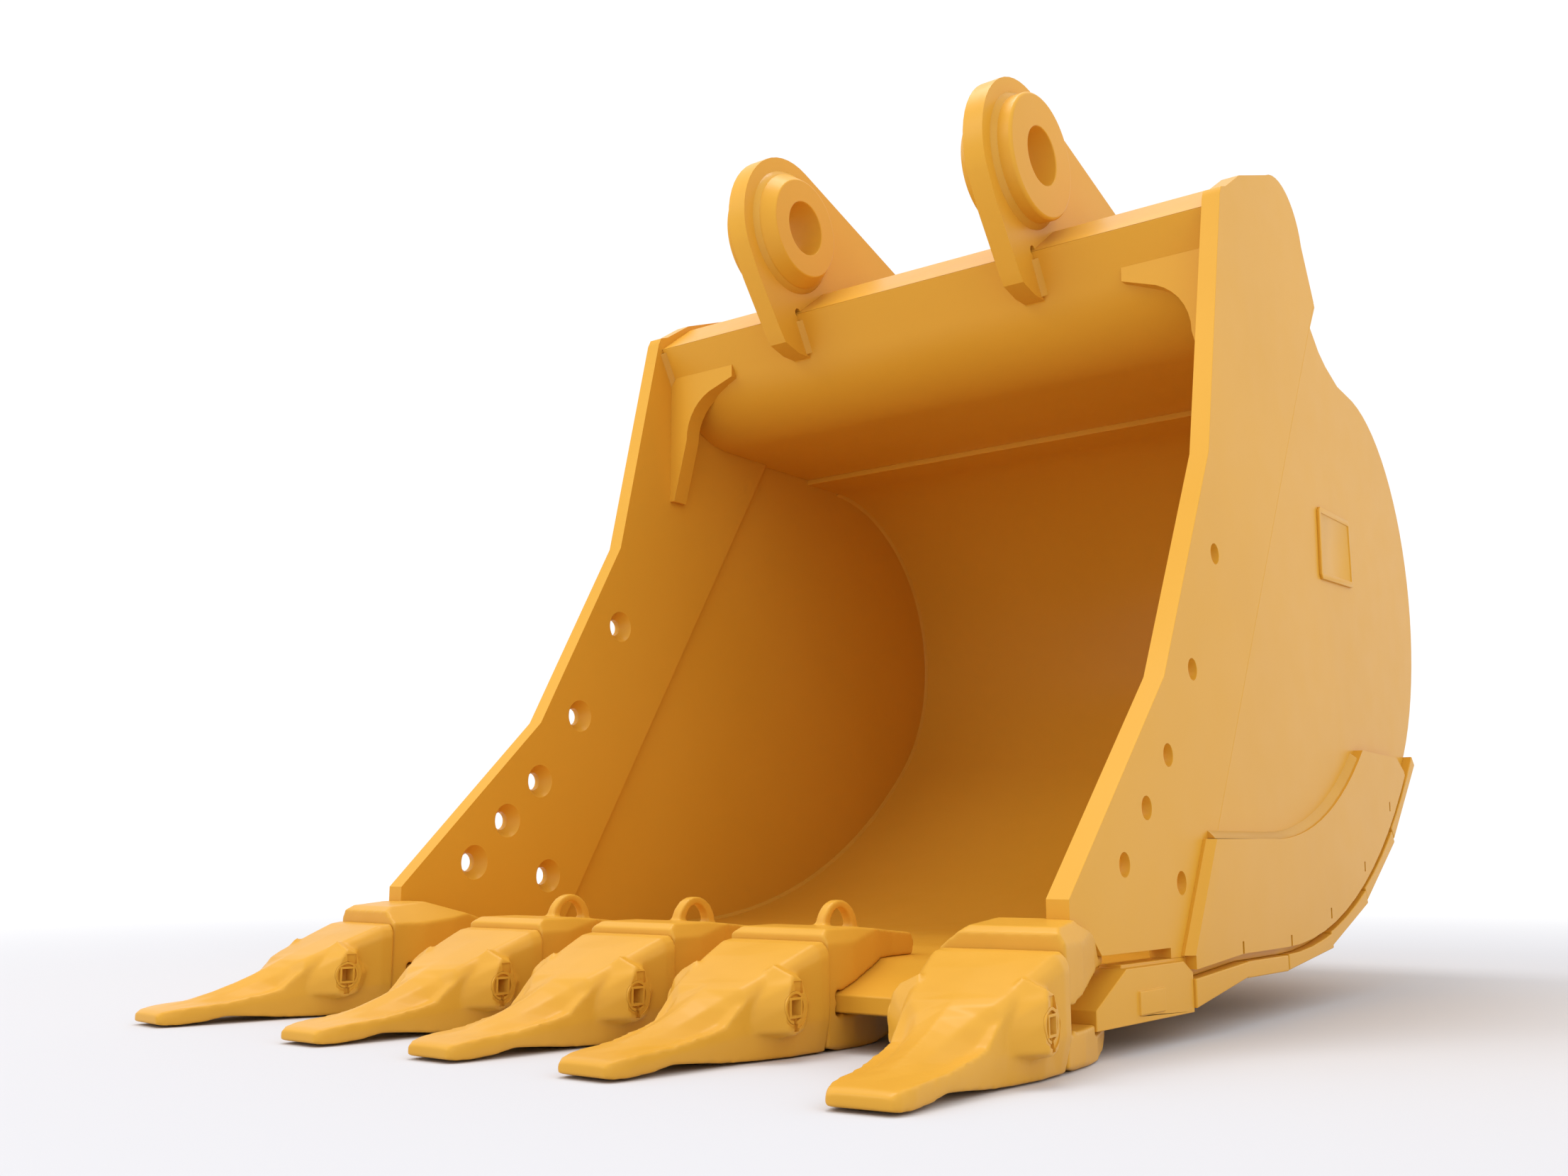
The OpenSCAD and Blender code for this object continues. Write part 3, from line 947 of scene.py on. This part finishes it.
@dataclass
class WeldSeams:
    """Fillet welds: a rippled bead along each corner where two plates meet.

    One ripple is modelled, repeated by an Array modifier and laid along the seam. A ripple is
    really about 3 mm long; it is drawn at 7 mm so that it shows.
    """

    paint: bpy.types.Material
    leg: float = 9.0
    ripple: float = 7.0
    swell: float = 1.10
    half_width: float = 650.0
    bar: float = 32.0
    sheet: float = 18.0
    toe: float = 1.72
    seam_foot: tuple[float, float] = (395.0, 133.0)
    seam_angle: float = 58.6
    ear_inner: float = 249.0
    ear_thick: float = 40.0
    stick_pin: tuple[float, float] = (630.0, 1512.0)
    link_pin: tuple[float, float] = (1169.5, 1369.5)
    stick_boss: float = 118.0
    link_boss: float = 95.0
    # Section of a bead of leg 1: the corner, the end of one leg, the rounded face, the other end
    profile: tuple = ((0.0, 0.0), (1.0, 0.0), (0.78, 0.30), (0.53, 0.53), (0.30, 0.78), (0.0, 1.0))
    ear_foot: tuple = ((655.0, 1329.9), (690.0, 1269.3))
    cover_centre: tuple[float, float] = (932.0, 1364.0)
    cover_r: float = 114.0
    cover_span: tuple[float, float] = (116.0, 14.0)
    lip_end: tuple = ((652.0, 1335.1), (700.0, 1252.0))
    wear_leg: float = 11.0
    wear_edge: tuple = ((450.0, 276.0), (706.0, 277.0))
    wear_centre: tuple[float, float] = (706.0, 1177.0)
    wear_r: float = 900.0
    wear_span: tuple[float, float] = (-88.0, -56.0)
    bowl_leg: float = 6.0
    floor_centre: tuple[float, float] = (742.0, 1292.0)
    floor_r: float = 1181.0
    heel_r: float = 399.0
    blend_angle: float = -44.07
    heel_end: float = 88.0

    def build(self) -> None:
        """Lays every seam."""
        seams = [*self._hubs(), *self._ears(), *self._mouth(), *self._wear_plates(), *self._bowl()]
        for name, beads in seams:
            made = [self._bead(f"{name}_{i}", *bead) for i, bead in enumerate(beads)]
            seam = join(name, made) if len(made) > 1 else made[0]
            seam.name = name
            seam.data.materials.clear()
            seam.data.materials.append(self.paint)
            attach(seam, ROOT)
            LOG.info("%s: %d faces", name, len(seam.data.polygons))

    def _sheet_x(self, y: float, z: float) -> float:
        """Outer face of a side sheet at a point of the drawing."""
        angle = math.radians(self.seam_angle)
        behind = (y - self.seam_foot[0]) * math.sin(angle) - (z - self.seam_foot[1]) * math.cos(angle)
        return self.half_width - math.tan(math.radians(self.toe)) * max(0.0, behind)

    def _strip(self, name: str, count: int, leg: float) -> bpy.types.Object:
        """A straight open bead along X, with its corner on the axis and its legs along Y and Z.

        Args:
            name: Name of the bead.
            count: Number of ripples.
            leg: Leg length.

        Returns:
            The bead, open at both ends.
        """
        rings = []
        for x, scale in ((0.0, 1.0), (self.ripple * 0.5, self.swell), (self.ripple, 1.0)):
            rings.append([(x, y * leg * scale, z * leg * scale) for y, z in self.profile])
        unit = loft(name, rings)
        only(unit)
        bpy.ops.object.mode_set(mode="EDIT")
        bpy.ops.mesh.select_mode(type="FACE")
        mesh = bmesh.from_edit_mesh(unit.data)
        ends = (0.0, self.ripple * MM)
        for face in mesh.faces:
            face.select_set(any(all(abs(v.co.x - end) < 1e-6 for v in face.verts) for end in ends))
        bmesh.update_edit_mesh(unit.data)
        bpy.ops.mesh.delete(type="FACE")
        bpy.ops.object.mode_set(mode="OBJECT")
        apply_modifier(
            unit,
            "ARRAY",
            count=count,
            use_relative_offset=False,
            use_constant_offset=True,
            constant_offset_displace=(self.ripple * MM, 0.0, 0.0),
            use_merge_vertices=True,
            merge_threshold=1e-5,
        )
        return unit

    def _bead(
        self, name: str, path: Sequence[Vector], wall: Vector, leg: float, turn: int
    ) -> bpy.types.Object:
        """Lays a bead along a path.

        Args:
            name: Name of the bead.
            path: Points of the corner, in millimetres.
            wall: Direction of the first leg, square to the path's plane.
            leg: Leg length.
            turn: 1 or -1, the side of the path on which the second leg stands.

        Returns:
            The bead. A straight or curved run is closed at its ends; the ends of a full ring lie
            a fraction of a millimetre apart and stay unjoined.
        """
        closed = (path[0] - path[-1]).length < 1e-3
        lengths = [0.0]
        for before, after in zip(path, path[1:]):
            lengths.append(lengths[-1] + (after - before).length)
        total = lengths[-1]
        count = max(2, round(total / self.ripple))
        bead = self._strip(name, count, leg)
        stretch = total / (count * self.ripple)

        def place(along: float) -> tuple[Vector, Vector]:
            """Point and second leg's direction at a length along the path.

            Args:
                along: Length from the path's start.

            Returns:
                The point and the unit direction.
            """
            k = min(max(i for i, s in enumerate(lengths) if s <= along + 1e-6), len(path) - 2)
            step = path[k + 1] - path[k]
            share = (along - lengths[k]) / step.length
            ways = [wall.cross(step).normalized()]
            if closed or 0 < k:
                before = path[k - 1 if k else -2]
                ways.append(wall.cross(path[k] - before).normalized() * max(0.0, 0.5 - share))
            if closed or k < len(path) - 2:
                beyond = path[k + 2] if k < len(path) - 2 else path[1]
                ways.append(wall.cross(beyond - path[k + 1]).normalized() * max(0.0, share - 0.5))
            second = sum(ways[1:], ways[0]).normalized()
            return path[k] + step * share, second * turn

        for vert in bead.data.vertices:
            spot = vert.co / MM
            point, second = place(min(spot.x * stretch, total))
            vert.co = (point + wall * spot.y + second * spot.z) * MM
        only(bead)
        bpy.ops.object.mode_set(mode="EDIT")
        bpy.ops.mesh.select_mode(type="VERT")
        bpy.ops.mesh.select_all(action="SELECT")
        bpy.ops.mesh.remove_doubles(threshold=1e-5)
        if not closed:
            bpy.ops.mesh.select_all(action="DESELECT")
            bpy.ops.mesh.select_non_manifold()
            bpy.ops.mesh.fill_holes(sides=0)
            bpy.ops.mesh.select_all(action="SELECT")
        bpy.ops.mesh.select_all(action="SELECT")
        bpy.ops.mesh.normals_make_consistent(inside=False)
        bpy.ops.object.mode_set(mode="OBJECT")
        smooth(bead, 50.0)
        return bead

    def _hubs(self) -> list:
        """Ring seams at the feet of the pin bosses, on both faces of each ear."""
        seams = []
        for side in Side:
            bosses = (
                ("stick", self.stick_pin, self.stick_boss),
                ("link", self.link_pin, self.link_boss),
            )
            for pin, centre, radius in bosses:
                beads = []
                for face, way in ((self.ear_inner, -1), (self.ear_inner + self.ear_thick, 1)):
                    x = side.value * face
                    ring = drawn(x, arc(centre, radius, 0, 360, 72))
                    ring[-1] = ring[0].copy()
                    wall = Vector((side.value * way, 0, 0))
                    beads.append((ring, wall, self.leg, -1 if wall.x > 0 else 1))
                seams.append((f"weld_{pin}_boss_{side.word}", beads))
        return seams

    def _ears(self) -> list:
        """Seams down the lip's face and over the torque tube's cover, on both faces of each ear."""
        cover = arc(self.cover_centre, self.cover_r, *self.cover_span, 20)
        seams = []
        for side in Side:
            beads = []
            for face, way in ((self.ear_inner, -1), (self.ear_inner + self.ear_thick, 1)):
                x, wall = side.value * face, Vector((side.value * way, 0, 0))
                beads.append((drawn(x, self.ear_foot), wall, self.leg, -1 if wall.x > 0 else 1))
                beads.append((drawn(x, cover), wall, self.leg, 1 if wall.x > 0 else -1))
            seams.append((f"weld_ear_{side.word}", beads))
        return seams

    def _mouth(self) -> list:
        """Seams where the lip's face meets the side bars."""
        seams = []
        for side in Side:
            wall = Vector((-side.value, 0, 0))
            path = drawn(side.value * (self.half_width - self.bar), self.lip_end)
            seams.append((f"weld_lip_end_{side.word}", [(path, wall, self.leg, -1 if wall.x > 0 else 1)]))
        return seams

    def _wear_plates(self) -> list:
        """Seams along the upper edges of the side wear plates."""
        edge = [*self.wear_edge, *arc(self.wear_centre, self.wear_r, *self.wear_span, 24)[1:]]
        seams = []
        for side in Side:
            path = [
                Vector((side.value * self._sheet_x(y, z), y + DRAWING_Y, z + DRAWING_Z)) for y, z in edge
            ]
            wall = Vector((side.value, 0, 0))
            turn = 1 if wall.x > 0 else -1
            seams.append((f"weld_wear_plate_{side.word}", [(path, wall, self.wear_leg, turn)]))
        return seams

    def _bowl(self) -> list:
        """Seams in the bowl's corners, between the heel sheet and the side sheets."""
        blend, offset = self.blend_angle, self.floor_r - self.heel_r
        heel = (
            self.floor_centre[0] + offset * math.cos(math.radians(blend)),
            self.floor_centre[1] + offset * math.sin(math.radians(blend)),
        )
        line = [
            *arc(self.floor_centre, self.floor_r, -90, blend, 20),
            *arc(heel, self.heel_r, blend, self.heel_end, 30)[1:],
        ]
        seams = []
        for side in Side:
            path = [
                Vector((side.value * (self._sheet_x(y, z) - self.sheet), y + DRAWING_Y, z + DRAWING_Z))
                for y, z in line
            ]
            wall = Vector((-side.value, 0, 0))
            seams.append((f"weld_bowl_{side.word}", [(path, wall, self.bowl_leg, 1 if wall.x > 0 else -1)]))
        return seams


@dataclass
class BadgeBlanks:
    """Cast badge plates with a raised rim round a plain, empty field."""

    paint: bpy.types.Material
    rim: float = 11.0
    depth: float = 2.2

    def build(self, nodes: dict[str, bpy.types.Object]) -> None:
        """Sinks the field of each badge.

        Args:
            nodes: CAD nodes by name.
        """
        for side in Side:
            node = f"badge_plate_{side.word}"
            badge = copy_of(nodes[node], f"badge_blank_{side.word}")
            badge.parent = None
            badge.matrix_world = Matrix.Identity(4)
            badge.modifiers.clear()
            only(badge)
            bpy.ops.object.mode_set(mode="EDIT")
            bpy.ops.mesh.select_mode(type="FACE")
            bpy.ops.mesh.select_all(action="SELECT")
            bpy.ops.mesh.remove_doubles(threshold=1e-5)
            bpy.ops.mesh.dissolve_limited(angle_limit=math.radians(1.0))
            bpy.ops.mesh.select_all(action="DESELECT")
            mesh = bmesh.from_edit_mesh(badge.data)
            outer = max(mesh.faces, key=lambda f: f.calc_area() if f.normal.x * side.value > 0.9 else 0.0)
            outer.select_set(True)
            bmesh.update_edit_mesh(badge.data)
            bpy.ops.mesh.inset(thickness=self.rim * MM)
            inward = (-side.value * self.depth * MM, 0, 0)
            bpy.ops.mesh.extrude_region_move(TRANSFORM_OT_translate={"value": inward})
            bpy.ops.object.mode_set(mode="OBJECT")
            apply_modifier(
                badge, "BEVEL", width=0.0008, segments=2, limit_method="ANGLE", angle_limit=math.radians(30)
            )
            smooth(badge, 40.0)
            badge.data.materials.clear()
            badge.data.materials.append(self.paint)
            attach(badge, ROOT)
            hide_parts(node)
            LOG.info("%s: %d faces", badge.name, len(badge.data.polygons))


# ------------------------------------------------------------------ main


def main() -> None:
    """Builds the looks around the frame."""
    logging.basicConfig(level=logging.INFO, format="%(name)s: %(message)s")
    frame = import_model()
    cad_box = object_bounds()
    nodes = frame["nodes"]
    Studio().build(cad_box[0][2])
    plate = PLATE_PAINT.build()
    cast = CAST_PAINT.build()
    weld = WELD_PAINT.build()
    teeth = ToothFrame()
    castings = ("tip_", "adapter_", "lock_")
    BadgeBlanks(plate).build(nodes)
    PlateWork(plate).build({n: o for n, o in nodes.items() if not n.startswith(castings)})
    AdapterCasting(cast).build(nodes)
    TipCasting(cast, teeth).build()
    RetainerLock(cast, teeth).build()
    WeldSeams(weld).build()


if __name__ == "__main__":
    main()
